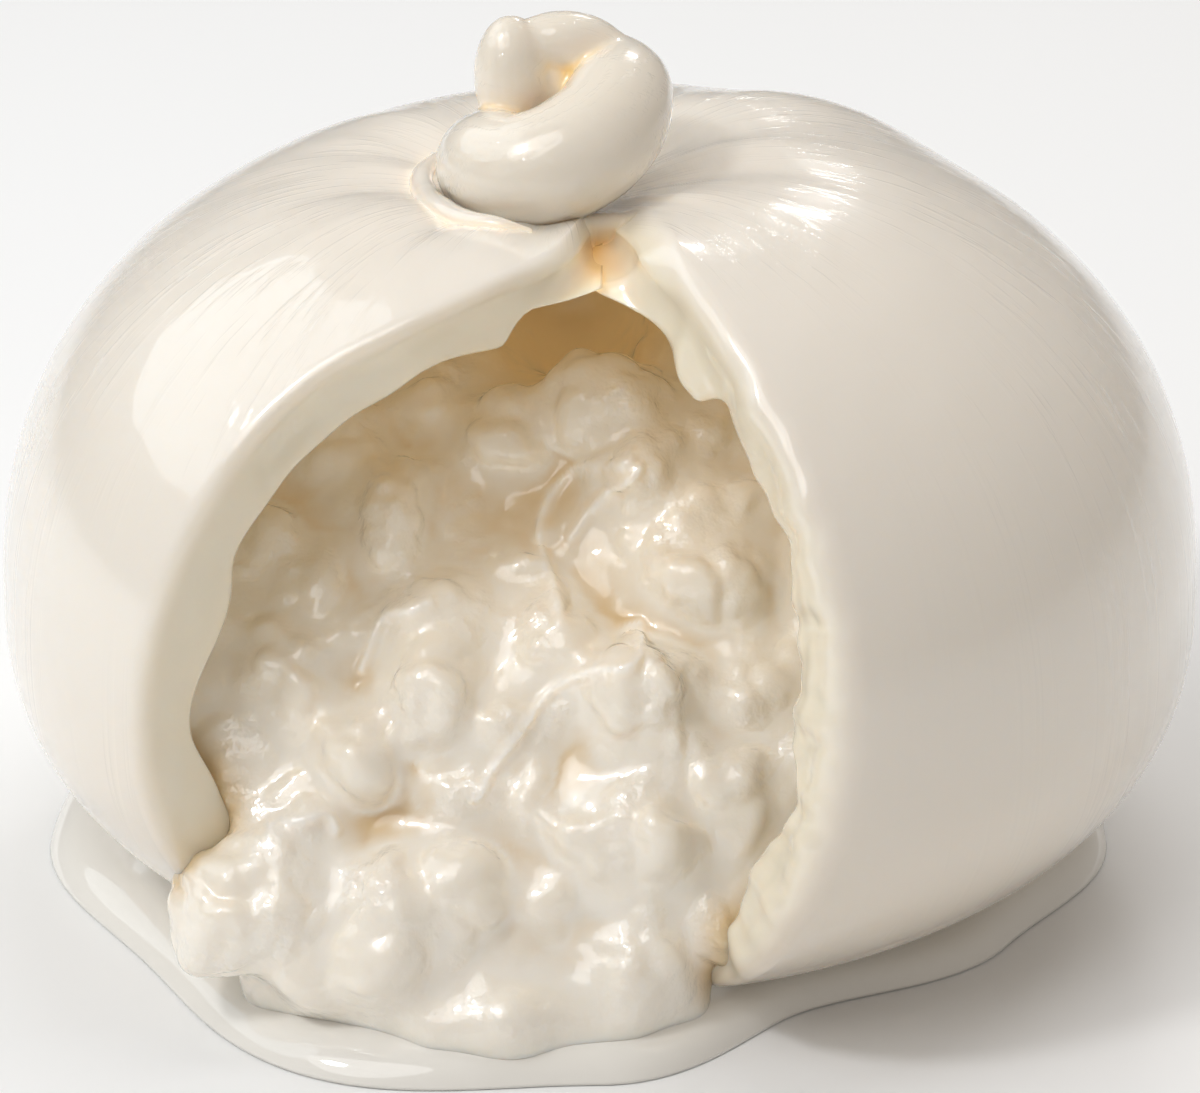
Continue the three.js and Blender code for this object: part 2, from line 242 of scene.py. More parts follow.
# Pool: its reach by azimuth, every 30 degrees, and its rim as shares of reach and level
POOL_REACH = [40.5, 33, 37, 41.5, 44.5, 44, 42, 43, 45.5, 45, 41.5, 45]
POOL_EDGE = [
    (0, 0), (0.9995, 0), (0.999, 0.1), (0.988, 0.36), (0.955, 0.68), (0.9, 0.88), (0.8, 1), (0, 1),
]
POOL_EDGE_STEPS = 40
POOL_EDGE_SPAN = (40, 3, 0)
POOL_RING_RUNS = (0, 0.3, 0.55, 0.75, 1)
POOL_SURFACE_FROM = 0.9
POOL_SWELL = 0.15
POOL_SWELL_SIZE = 14
CLIMB = 1.8
CLIMB_REACH = 1.7
POOL_COLUMNS = 360
POOL_RINGS = 110

# Finish: how deep light soaks into milk, and the shine of curd, of its film of whey and of cream
MILK_RADIUS = (1.0, 0.65, 0.35)
SKIN_SOAK = 2.2
SKIN_ROUGHNESS = 0.24
CURD_SOAK = 1.6
CURD_ROUGHNESS = 0.3
FILM_IOR = 1.65
FILM_ROUGHNESS = 0.035
CREAM_ROUGHNESS = 0.05
CREAM_SHINE = 0.9
FLOOR_ROUGHNESS = 0.6
# Strength of the painted glow
GLOW = 0.1

# Clouds of denser milk: scale in waves to the metre with detail, and how far they darken the tone
SKIN_CLOUDS = (35, 1.5)
CURD_CLOUDS = (160, 2)
CREAM_CLOUDS = (70, 2)
FLOOR_CLOUDS = (2, 1)
CLOUD_LIMITS = (0.25, 0.75)
SKIN_MOTTLING = 0.25
CREAM_SHADE = 0.97
FLOOR_SHADE = 0.985

# Wet relief: scales of swells and ripples, the ripples' share, and bumps as strength and depth
SWELL_DETAIL = 1
RIPPLE_DETAIL = 2
CURD_SCALES = (420, 1100)
GRAIN_LIMITS = (0.4, 1)
GRAIN_SHARES = (0.2, 1.4)
CURD_BUMP = (0.7, 0.3)
CREAM_SCALES = (90, 400)
CREAM_RIPPLES = 0.1
CREAM_BUMP = (0.3, 0.2)

# Streaks of the film: scales across the stored lines, the finer one's share, and their patches
STREAK_SCALES = (1, 3.1)
STREAK_SHARE = 0.3
STREAK_LIMITS = (0.7, 0.9)
STREAK_PATCHES = (70, 1)
STREAK_PATCH_LIMITS = (0.325, 0.65)
STREAK_BUMP = (0.45, 0.2)

# Studio: lamps as azimuth, elevation, distance and size, the spot they aim at, floor and camera
LAMPS = {
    "key": (-108, 40, 550, (640, 420)),
    "spark": (-58, 50, 600, (100, 100)),
    "fill": (-42, 52, 600, (450, 450)),
    "glint": (165, 36, 600, (100, 70)),
    "top": (150, 66, 600, (500, 500)),
}
LAMP_AIM = (0, 0, 30)
FLOOR_SIZE = 6000
FLOOR_DROP = 0.1
SENSOR_WIDTH = 36
BOUNCES = {"max_bounces": 4, "diffuse_bounces": 3, "glossy_bounces": 2}


def length(name, description, default):
    """A size that a user may change."""
    return bpy.props.FloatProperty(
        name=name, description=description, default=default, min=0, precision=5, unit="LENGTH"
    )


def colour(name, description, default):
    """A colour that a user may change."""
    return bpy.props.FloatVectorProperty(
        name=name, description=description, default=default, min=0, max=1, size=3, subtype="COLOR"
    )


def strength(name, description, default):
    """The power of a light."""
    return bpy.props.FloatProperty(
        name=name, description=description, default=default, min=0, unit="POWER"
    )


def angle(name, description, default):
    """An angle, given here in degrees."""
    return bpy.props.FloatProperty(
        name=name, description=description, default=math.radians(default), subtype="ANGLE"
    )


class PouchSettings(bpy.types.PropertyGroup):
    """The skin of stretched curd."""

    half_width: length("Half width", "From the middle to the side", POUCH_TOP.x)
    half_depth: length("Half depth", "From the middle to the back", POUCH_TOP.y)
    crown_height: length("Crown height", "Height of the skin before the knot dents it", 0.0615)
    belly_height: length("Belly height", "Height of the widest ring", 0.024)
    wall: length("Wall", "Thickness of the skin at the cut", 0.0065)
    left_round: length("Left lip rounding", "Rounding of the sliced lip", 0.0015)
    right_round: length("Right lip rounding", "Rounding of the torn lip", 0.0026)
    wrinkle: length("Wrinkle depth", "Depth of the fine wrinkles that run to the knot", 0.00015)
    skin: colour("Skin", "Colour of the outer skin", (0.90, 0.845, 0.76))
    # Also painted as shade on the lower skin
    shade: colour("Mottling", "Colour of the denser patches of the skin", (0.81, 0.72, 0.60))
    cut: colour("Cut face", "Colour of the cut through the skin", (0.90, 0.83, 0.67))
    # Painted shade: golden colour in the slit under the knot and on the inner ceiling, also the colour
    # of the painted glow
    crease: colour("Crease", "Colour deep in the creases", (0.80, 0.60, 0.33))


class KnotSettings(bpy.types.PropertyGroup):
    """The knot that ties the pouch."""

    grain: length("Grain", "Size of the cells that fuse the strands", 0.0003)
    skin: colour("Knot", "Colour of the tightly drawn curd", (0.88, 0.815, 0.71))
    shade: colour("Knot mottling", "Colour of its denser patches", (0.81, 0.725, 0.585))
    # Painted shade: golden colour between the strands, also the colour of their painted glow
    crease: colour("Knot crease", "Colour deep between the strands", (0.93, 0.68, 0.32))


class FillingSettings(bpy.types.PropertyGroup):
    """The stracciatella: shreds and lumps of curd in cream."""

    grain: length("Grain", "Size of the cells that fuse the curds", 0.00052)
    lump: length("Lump depth", "How far the lumps of a curd stand out", 0.0007)
    curd: colour("Curd", "Colour of the curds", (0.95, 0.885, 0.77))
    cream: colour("Cream", "Colour of the cream between the curds", (0.95, 0.90, 0.81))
    # Painted shade: golden colour in the gaps between curds and at the seam with the skin
    gap: colour("Gap", "Colour in the gaps between curds", (0.76, 0.56, 0.31))
    # Whiter tint of the film edges: partly the cream's own colour, partly a painted highlight along them
    film: colour("Film", "Colour of the raised edges of the cream film", (0.96, 0.94, 0.9))
    # Painted shade deep in the air pocket, also the colour of the painted glow there
    deep: colour("Depth", "Colour deep in the air pocket", (0.95, 0.72, 0.36))


class PoolSettings(bpy.types.PropertyGroup):
    """The cream round the foot."""

    level: length("Level", "Height of the cream's surface", POOL_TOP.z)
    cream: colour("Cream", "Colour of the cream", (0.91, 0.89, 0.84))


class StageSettings(bpy.types.PropertyGroup):
    """Camera, light and floor."""

    elevation: angle("Elevation", "Camera angle above the horizon", 24)
    distance: length("Distance", "From the camera to its aim", 0.450)
    aim_height: length("Aim height", "Height of the spot that the camera looks at", 0.0265)
    lens: bpy.props.FloatProperty(name="Lens", description="Focal length", default=168.1, unit="CAMERA")
    key_power: strength("Key power", "Large soft box at the left", 0.67)
    key_tint: colour("Key tint", "Colour of the large soft box", (0.84, 0.935, 1.0))
    fill_power: strength("Fill power", "Soft box at the front left, above the cut", 0.8)
    spark_power: strength("Spark power", "Small bright lamp that makes the wet curds glint", 0.72)
    glint_power: strength("Glint power", "Small lamp behind that makes the wet crown glint", 0.2)
    top_power: strength("Top power", "Soft box above the back of the crown", 1.2)
    sky: bpy.props.FloatProperty(
        name="Room light", description="Light from all round", default=0.35, min=0
    )
    sky_tint: colour("Room tint", "Colour of the light from all round", (1.0, 0.925, 0.845))
    floor: colour("Floor", "Colour of the floor", (0.95, 0.96, 0.97))


class BurrataSettings(bpy.types.PropertyGroup):
    """All settings of the burrata."""

    pouch: bpy.props.PointerProperty(type=PouchSettings)
    knot: bpy.props.PointerProperty(type=KnotSettings)
    filling: bpy.props.PointerProperty(type=FillingSettings)
    pool: bpy.props.PointerProperty(type=PoolSettings)
    stage: bpy.props.PointerProperty(type=StageSettings)


# Curves and noise

def unit(vectors):
    """Vectors cut to length one."""
    return vectors / np.linalg.norm(vectors, axis=-1, keepdims=True)


def way_to(azimuth, elevation):
    """The unit vector towards an azimuth and an elevation."""
    turn, tilt = math.radians(azimuth), math.radians(elevation)
    return np.array([math.sin(turn) * math.cos(tilt), -math.cos(turn) * math.cos(tilt), math.sin(tilt)])


def smooth_step(low, high, value):
    """Rises softly from 0 at low to 1 at high."""
    t = np.clip((value - low) / (high - low), 0, 1)
    return t * t * (3 - 2 * t)


def smooth_path(points, steps):
    """A centripetal curve through the points."""
    points = np.asarray(points, float)
    framed = np.vstack([2 * points[0] - points[1], points, 2 * points[-1] - points[-2]])
    runs = []
    for i in range(len(points) - 1):
        p = framed[i : i + 4]
        t = np.r_[0, np.cumsum(np.linalg.norm(np.diff(p, axis=0), axis=1) ** 0.5)]
        at = np.linspace(t[1], t[2], steps, endpoint=False)[:, None]
        a = [((t[k + 1] - at) * p[k] + (at - t[k]) * p[k + 1]) / (t[k + 1] - t[k]) for k in range(3)]
        b = [((t[k + 2] - at) * a[k] + (at - t[k]) * a[k + 1]) / (t[k + 2] - t[k]) for k in range(2)]
        runs.append(((t[2] - at) * b[0] + (at - t[1]) * b[1]) / (t[2] - t[1]))
    return np.vstack([*runs, points[-1:]])


def run_of(points):
    """How far along a line each of its points lies."""
    return np.r_[0, np.cumsum(np.linalg.norm(np.diff(points, axis=0), axis=1))]


def even_loop(points, count):
    """A closed line as evenly spaced points."""
    closed = np.vstack([points, points[:1]])
    run = run_of(closed)
    at = np.linspace(0, run[-1], count, endpoint=False)
    return np.stack([np.interp(at, run, closed[:, axis]) for axis in range(3)], axis=1)


def wobble(points, size, shift=0):
    """Smooth noise from about -1 to 1, with swells of about the given size."""
    aside = Vector((shift, 0, 0))
    return np.array([noise.noise(Vector(p) + aside) for p in points / size])


def lumps(points, size, shift):
    """Rounded bumps that run into each other, from about 0 in the gaps to 1 on top."""
    aside = Vector((shift, 0, 0))
    distances = np.array([noise.voronoi(Vector(p) + aside)[0] for p in points / size])
    nearest = -np.log(np.exp(-LUMP_BLEND * distances).sum(axis=1)) / LUMP_BLEND
    return 1 - np.clip(nearest, 0, 1) ** 2


# The pouch's form

def crown_dip(x, y):
    """How far the hollow, the gathers and the folds lower the crown at a spot."""
    away = np.hypot(x - KNOT_X, y - KNOT_Y)
    around = np.arctan2(x - KNOT_X, KNOT_Y - y)
    near = np.exp(-(((away - GATHER_REACH) / GATHER_REACH) ** 2)) * np.minimum(1, away / GATHER_REACH)
    dip = HOLLOW_DEPTH * np.exp(-((away / HOLLOW_REACH) ** 2))
    dip = dip + GATHER_DEPTH * np.cos(GATHERS * around) * near
    for azimuth, reach, height in FOLDS:
        turn = around - math.radians(azimuth)
        beside = away * np.sin(turn) / FOLD_WIDTH
        along = (away * np.cos(turn) - reach) / FOLD_LENGTH
        dip = dip - height * np.exp(-(beside**2) - along**2)
    return dip


class Skin:
    """The pouch's outline in millimetres."""

    def __init__(self, sizes):
        self.half_width = sizes.half_width / MM
        self.half_depth = sizes.half_depth / MM
        self.crown = sizes.crown_height / MM
        self.belly = sizes.belly_height / MM
        self.middle = np.array([0, 0, self.belly])

    def points(self, directions, inset=0.0, foot=0.0):
        """The skin, or a surface inset from it, in each direction from the middle."""
        upper = directions[:, 2] >= 0
        power = np.where(upper, UPPER_POWER, LOWER_POWER)
        rise = np.where(upper, self.crown - self.belly - inset, LOWER_DROP)
        across = np.hypot(
            directions[:, 0] / (self.half_width - inset), directions[:, 1] / (self.half_depth - inset)
        )
        steep = np.abs(directions[:, 2]) / rise
        reach = (across**power + steep**power) ** (-1 / power)
        points = directions * reach[:, None]
        up = np.where(upper, points[:, 2] / rise, 0)
        points[:, 2] += self.belly - up * crown_dip(points[:, 0], points[:, 1])
        points[:, 2] = np.maximum(points[:, 2], foot)
        return points

    def at(self, azimuth, height):
        """The plain skin at an azimuth and a height."""
        upper = height >= self.belly
        power = UPPER_POWER if upper else LOWER_POWER
        span = self.crown - self.belly if upper else LOWER_DROP
        out = (1 - (abs(height - self.belly) / span) ** power) ** (1 / power)
        turn = math.radians(azimuth)
        return (self.half_width * out * math.sin(turn), -self.half_depth * out * math.cos(turn), height)


def lip_loop(skin):
    """The whole edge of the cut: up the sliced left lip and down the torn right one."""
    left = smooth_path([skin.at(*spot) for spot in LEFT_LIP], LIP_STEPS)
    right = smooth_path([skin.at(*spot) for spot in RIGHT_LIP], LIP_STEPS)
    for period in TEAR_PERIODS:
        right[:, 0] += TEAR_DEPTH * np.sin(2 * np.pi * right[:, 2] / period)
    return even_loop(np.vstack([left, right]), COLUMNS)


def bend(start, corner, end, t):
    """A rounded corner from start to end."""
    return (1 - t) ** 2 * start + 2 * t * (1 - t) * corner + t * t * end


def lip_wall(lip, slit, wall):
    """The wall's thickness along the lip: uneven, and less where the slit closes."""
    thin = np.where(lip[:, 0] < SLIT_X, smooth_step(*THIN_FROM_LEFT, lip[:, 2]), slit)
    swing = 1 + WALL_SWING * wobble(lip, WALL_SWING_SIZE)
    return wall * swing * (1 - SLIT_THINNING * thin)


def pouch_rings(skin, sizes):
    """Rings of points from the outside of the back, over the lip, to the inside of the back."""
    rough_lip = lip_loop(skin)
    slit = np.clip((rough_lip[:, 2] - SLIT_FROM) / (SLIT_TO - SLIT_FROM), 0, 1) ** 2
    wall = lip_wall(rough_lip, slit, sizes.wall / MM)
    ways = unit(rough_lip - skin.middle)
    lip = skin.points(ways)
    inner_lip = skin.points(ways, wall, FOOT_WALL)
    meeting = SLIT_X - SLIT_OVERLAP * np.clip(rough_lip[:, 0] - SLIT_X, -1, 1)
    inner_lip[:, 0] += slit * (meeting - inner_lip[:, 0])
    torn = smooth_step(*TORN_FROM_X, lip[:, 0:1])
    rounding = sizes.left_round / MM * (1 - torn) + sizes.right_round / MM * torn

    back = -way_to(OPENING_AZIMUTH, OPENING_ELEVATION)
    towards = unit(ways - (ways @ back)[:, None] * back)
    lip_angle = np.arccos(np.clip(ways @ back, -1, 1))[:, None]
    round_angle = rounding / np.linalg.norm(lip - skin.middle, axis=1, keepdims=True)

    def along(angles):
        return np.cos(angles) * back + np.sin(angles) * towards

    rings = []
    for s in np.linspace(0, 1, OUTER_RINGS):
        spare = (1 - s) ** RING_CROWDING
        rings.append(skin.points(along((lip_angle - round_angle) * (1 - spare))))
    down_the_cut = unit(inner_lip - lip)
    outer_end = rings[-1]
    face_start = lip + rounding * down_the_cut
    face_end = inner_lip - rounding / 2 * (1 - slit[:, None]) * down_the_cut
    inner_start = skin.points(along(lip_angle - round_angle / 2), wall, FOOT_WALL)
    for t in np.linspace(0, 1, LIP_RINGS + 1)[1:]:
        rings.append(bend(outer_end, lip, face_start, t))
    for t in np.linspace(0, 1, FACE_RINGS + 1)[1:]:
        sideways = t ** (1 + slit)
        inwards = 1 - (1 - t) ** (1 + slit)
        shares = np.stack([sideways, inwards, inwards], axis=1)
        rings.append(face_start + shares * (face_end - face_start))
    for t in np.linspace(0, 1, INNER_LIP_RINGS + 1)[1:]:
        rings.append(bend(face_end, inner_lip, inner_start, t))
    for t in np.linspace(1, 0, INNER_RINGS + 1)[1:]:
        rings.append(skin.points(along((lip_angle - round_angle / 2) * t), wall, FOOT_WALL))
    return np.array(rings), torn[:, 0], unit(outer_end - lip)


def cut_share(count):
    """For each ring how far it lies on the cut: 0 on the skin, 1 on the cut and inside."""
    rings = np.arange(count)
    return smooth_step(OUTER_RINGS, OUTER_RINGS + LIP_RINGS, rings)


def tear_relief(rings, torn, aside):
    """Roughens the cut: faintly where it was sliced, in lumps where it tore."""
    first, last = OUTER_RINGS, OUTER_RINGS + LIP_RINGS + FACE_RINGS + INNER_LIP_RINGS
    face = rings[first:last]
    inwards = np.linspace(0, 1, last - first)[:, None]
    depth = np.zeros(face.shape[:2])
    for size, shift, sliced, added in CUT_RELIEF:
        waves = wobble(face.reshape(-1, 3), size, shift).reshape(depth.shape)
        depth += (sliced + added * torn) * waves
    rings = rings.copy()
    rings[first:last] += (np.sin(CUT_RELIEF_RUN * np.pi * inwards) * depth)[:, :, None] * aside
    for *spot, size in NODULES:
        bulge = size * np.exp(-((np.linalg.norm(rings[first:] - spot, axis=2) / size) ** 2))
        rings[first:] -= bulge[:, :, None] * aside
    return rings


# Meshes

def deselect():
    """Leaves nothing selected, in object mode."""
    if bpy.context.object is not None and bpy.context.object.mode != "OBJECT":
        bpy.ops.object.mode_set(mode="OBJECT")
    bpy.ops.object.select_all(action="DESELECT")


def active_piece(name):
    """The object that was just added, under its own name."""
    piece = bpy.context.object
    piece.name = name
    piece.data.name = name
    return piece


def apply_modifier(piece, kind, **options):
    """Adds a modifier and applies it."""
    bpy.context.view_layer.objects.active = piece
    modifier = piece.modifiers.new(kind.title(), kind)
    for option, value in options.items():
        setattr(modifier, option, value)
    bpy.ops.object.modifier_apply(modifier=modifier.name)


def points_of(piece):
    """A mesh's points in millimetres."""
    flat = np.empty(3 * len(piece.data.vertices))
    piece.data.vertices.foreach_get("co", flat)
    return flat.reshape(-1, 3) / MM


def normals_of(piece):
    """A mesh's normals at its points."""
    flat = np.empty(3 * len(piece.data.vertices))
    piece.data.vertices.foreach_get("normal", flat)
    return flat.reshape(-1, 3)


def edges_of(piece):
    """A mesh's edges as pairs of point numbers."""
    flat = np.empty(2 * len(piece.data.edges), np.int32)
    piece.data.edges.foreach_get("vertices", flat)
    return flat.reshape(-1, 2)


def move_points(piece, points):
    """Moves a mesh's points to places in millimetres."""
    piece.data.vertices.foreach_set("co", (points * MM).ravel())
    piece.data.update()


def keep_values(piece, name, values):
    """Stores a value or a vector for every point, for the material to read."""
    kind, field = ("FLOAT", "value") if values.ndim == 1 else ("FLOAT_VECTOR", "vector")
    attribute = piece.data.attributes.new(name, kind, "POINT")
    attribute.data.foreach_set(field, values.ravel().astype(np.float32))


def relaxed(values, edges, rounds):
    """Values at the points, each moved to the mean of its neighbours again and again."""
    count = len(values)
    first, second = edges[:, 0], edges[:, 1]
    degree = np.bincount(first, minlength=count) + np.bincount(second, minlength=count)
    values = values.copy()
    for _ in range(rounds):
        for axis in range(values.shape[1]):
            column = values[:, axis]
            total = np.bincount(first, column[second], count) + np.bincount(second, column[first], count)
            values[:, axis] = total / degree
    return values


def hollows(piece, normals, rounds):
    """How far each point lies below its surroundings, which more rounds widen."""
    points = points_of(piece)
    soft = relaxed(points, edges_of(piece), rounds)
    return np.einsum("ij,ij->i", soft - points, normals)


def settle(piece, node, material):
    """Gives a finished piece its material and its place in the frame."""
    bpy.ops.object.shade_smooth()
    piece.data.materials.clear()
    piece.data.materials.append(material)
    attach(piece, "root")
    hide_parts(node)
    deselect()


def add_rolled_grid(name, rings, columns):
    """A grid to be rolled up, with the ring and the column of each of its points."""
    deselect()
    bpy.ops.mesh.primitive_grid_add(x_subdivisions=columns, y_subdivisions=rings - 1, size=2 * MM)
    piece = active_piece(name)
    across, along = 0.5 + 0.5 * points_of(piece)[:, :2].T
    ring = np.rint(along * (rings - 1)).astype(int)
    column = np.rint(across * columns).astype(int) % columns
    return piece, ring, column


def close_up(piece):
    """Merges the points that meet at seams and poles, and turns every face outwards."""
    bpy.context.view_layer.objects.active = piece
    bpy.ops.object.mode_set(mode="EDIT")
    bpy.ops.mesh.select_all(action="SELECT")
    bpy.ops.mesh.remove_doubles(threshold=TINY)
    bpy.ops.mesh.normals_make_consistent(inside=False)
    bpy.ops.object.mode_set(mode="OBJECT")


def add_strand(path, radii):
    """A tube along the path with a ball on each end."""
    bpy.ops.curve.primitive_bezier_curve_add()
    curve = bpy.context.object.data
    curve.splines[0].bezier_points.add(len(path) - 2)
    for point, spot, radius in zip(curve.splines[0].bezier_points, path, radii):
        point.co = Vector(spot) * MM
        point.radius = radius
        point.handle_left_type = point.handle_right_type = "AUTO"
    curve.bevel_depth = MM
    curve.bevel_resolution = STRAND_SIDES
    curve.resolution_u = STRAND_STEPS
    curve.use_fill_caps = True
    bpy.ops.object.convert(target="MESH")
    parts = [bpy.context.object]
    for spot, radius in ((path[0], radii[0]), (path[-1], radii[-1])):
        parts.append(add_blob(spot, [radius] * 3))
    return parts


def add_blob(place, half_sizes):
    """A rounded lump with the given half sizes."""
    bpy.ops.mesh.primitive_ico_sphere_add(
        subdivisions=BALL_DETAIL, radius=MM, location=Vector(place) * MM, scale=half_sizes
    )
    return bpy.context.object


def tree_of(piece):
    """A piece's surface, to cast rays at and measure distances to."""
    return BVHTree.FromObject(piece, bpy.context.evaluated_depsgraph_get())


def distances_to(name, points):
    """How far each point lies from the surface of a finished piece, in millimetres."""
    piece = bpy.data.objects.get(name)
    if piece is None:
        raise RuntimeError(f"{name} has to be made first")
    surface = tree_of(piece)
    return np.array([surface.find_nearest(Vector(spot) * MM)[3] for spot in points]) / MM


def join(name, parts):
    """Several objects made one."""
    deselect()
    for part in parts:
        part.select_set(True)
    bpy.context.view_layer.objects.active = parts[0]
    bpy.ops.object.join()
    bpy.ops.object.transform_apply()
    return active_piece(name)


def melt(piece, grain):
    """Makes all bodies of a mesh one, in cells of the given size."""
    apply_modifier(piece, "REMESH", mode="VOXEL", voxel_size=grain)


def smooth(piece, rounds):
    """Softens a mesh."""
    apply_modifier(piece, "SMOOTH", factor=SMOOTHING, iterations=rounds)


def fuse(name, parts, grain, rounds):
    """Several objects melted into one smooth body."""
    piece = join(name, parts)
    melt(piece, grain)
    smooth(piece, rounds)
    return piece


# Materials

class Nodes:
    """Adds nodes to a tree, with values or links for their inputs."""

    def __init__(self, tree):
        self.tree = tree

    def add(self, kind, inputs=None, **options):
        made = self.tree.nodes.new(kind)
        for option, value in options.items():
            setattr(made, option, value)
        for socket, value in (inputs or {}).items():
            if isinstance(value, bpy.types.NodeSocket):
                self.tree.links.new(value, made.inputs[socket])
            else:
                made.inputs[socket].default_value = value
        return made

    def attribute(self, name, output="Fac"):
        """What a piece stores for its points under a name."""
        return self.add("ShaderNodeAttribute", attribute_name=name).outputs[output]

    def mix(self, factor, first, second):
        """Two colours mixed by a factor."""
        made = self.add("ShaderNodeMix", {0: factor, 6: first, 7: second}, data_type="RGBA")
        return made.outputs[2]

    def maths(self, operation, first, second):
        """Two values added, multiplied or compared."""
        return self.add("ShaderNodeMath", {0: first, 1: second}, operation=operation).outputs[0]

    def noise(self, place, scale, detail):
        """Smooth noise from 0 to 1."""
        made = self.add("ShaderNodeTexNoise", {"Vector": place, "Scale": scale, "Detail": detail})
        return made.outputs["Fac"]

    def span(self, value, limits, shares=(0, 1)):
        """A value stretched from its limits to a lowest and a highest share."""
        ends = dict(zip(("From Min", "From Max", "To Min", "To Max"), (*limits, *shares)))
        return self.add("ShaderNodeMapRange", {"Value": value, **ends}).outputs["Result"]

    def bump(self, height, strength, depth):
        """The normal of a relief whose depth is in millimetres."""
        inputs = {"Height": height, "Strength": strength, "Distance": depth * MM}
        return self.add("ShaderNodeBump", inputs).outputs["Normal"]

    def feed(self, shader, output, *sockets):
        """Links an output to sockets of a shader."""
        for socket in sockets:
            self.tree.links.new(output, shader.inputs[socket])


def opaque(tint):
    """A colour with full alpha."""
    return (*tint, 1.0)


def group_tree(name, inputs, output):
    """A node group with float inputs, a vector called Place and one float output."""
    tree = bpy.data.node_groups.new(name, "ShaderNodeTree")
    tree.interface.new_socket("Place", in_out="INPUT", socket_type="NodeSocketVector")
    for label in inputs:
        tree.interface.new_socket(label, in_out="INPUT", socket_type="NodeSocketFloat")
    tree.interface.new_socket(output, in_out="OUTPUT", socket_type="NodeSocketFloat")
    return tree


def milk_clouds():
    """Soft clouds of denser milk, from 0 to 1."""
    name = "Milk clouds"
    if name in bpy.data.node_groups:
        return bpy.data.node_groups[name]
    tree = group_tree(name, ("Scale", "Detail"), "Cloud")
    nodes = Nodes(tree)
    given = nodes.add("NodeGroupInput").outputs
    cloud = nodes.noise(given["Place"], given["Scale"], given["Detail"])
    nodes.add("NodeGroupOutput", {"Cloud": nodes.span(cloud, CLOUD_LIMITS)})
    return tree


def wet_relief():
    """Height of a wet surface: swells with finer ripples on them."""
    name = "Wet relief"
    if name in bpy.data.node_groups:
        return bpy.data.node_groups[name]
    tree = group_tree(name, ("Swell scale", "Ripple scale", "Ripple share"), "Height")
    nodes = Nodes(tree)
    given = nodes.add("NodeGroupInput").outputs
    swell = nodes.noise(given["Place"], given["Swell scale"], SWELL_DETAIL)
    ripple = nodes.noise(given["Place"], given["Ripple scale"], RIPPLE_DETAIL)
    weighed = nodes.maths("MULTIPLY", ripple, given["Ripple share"])
    nodes.add("NodeGroupOutput", {"Height": nodes.maths("ADD", swell, weighed)})
    return tree


def add_clouds(nodes, place, waves):
    """The milk clouds of a material, with their scale and detail."""
    scale, detail = waves
    inputs = {"Place": place, "Scale": scale, "Detail": detail}
    return nodes.add("ShaderNodeGroup", inputs, node_tree=milk_clouds()).outputs["Cloud"]


def add_wet_relief(nodes, place, scales, share):
    """The wet relief of a material, with the scales of swells and ripples and the ripples' share."""
    swell, ripple = scales
    inputs = {"Place": place, "Swell scale": swell, "Ripple scale": ripple, "Ripple share": share}
    return nodes.add("ShaderNodeGroup", inputs, node_tree=wet_relief()).outputs["Height"]


def add_streaks(nodes, place):
    """Fine ridges in the film of whey, in patches, along the lines that the piece stores."""
    along = nodes.attribute("streak", "Vector")
    broad, fine = STREAK_SCALES
    swell = nodes.noise(along, broad, SWELL_DETAIL)
    ripple = nodes.noise(along, fine, RIPPLE_DETAIL)
    strokes = nodes.maths("ADD", swell, nodes.maths("MULTIPLY", ripple, STREAK_SHARE))
    patches = nodes.span(nodes.noise(place, *STREAK_PATCHES), STREAK_PATCH_LIMITS)
    return nodes.maths("MULTIPLY", nodes.span(strokes, STREAK_LIMITS), patches)


def clouded(nodes, place, waves, tint, shade):
    """A tint that is a little darker in soft clouds."""
    darker = [shade * part for part in tint]
    return nodes.mix(add_clouds(nodes, place, waves), opaque(tint), opaque(darker))


def new_material(name):
    """An empty material with its shader, its node helper and its object coordinates."""
    material = bpy.data.materials.new(name)
    material.use_nodes = True
    shader = material.node_tree.nodes["Principled BSDF"]
    nodes = Nodes(material.node_tree)
    place = nodes.add("ShaderNodeTexCoord").outputs["Object"]
    return material, shader, nodes, place


def set_flesh(shader, soak, roughness):
    """Light that soaks into milk and comes out warmer, under a film of whey."""
    shader.subsurface_method = "BURLEY"
    values = {
        "Subsurface Weight": 1.0,
        "Subsurface Radius": MILK_RADIUS,
        "Subsurface Scale": soak * MM,
        "Roughness": roughness,
        "Coat Weight": 1.0,
        "Coat IOR": FILM_IOR,
        "Coat Roughness": FILM_ROUGHNESS,
    }
    for socket, value in values.items():
        shader.inputs[socket].default_value = value


def add_painted_glow(material, shader, nodes, tint):
    """A faint painted glow: emission that stands in for daylight coming through the thin wall."""
    material.cycles.emission_sampling = "NONE"
    shader.inputs["Emission Color"].default_value = opaque(tint)
    nodes.feed(shader, nodes.maths("MULTIPLY", nodes.attribute("glow"), GLOW), "Emission Strength")


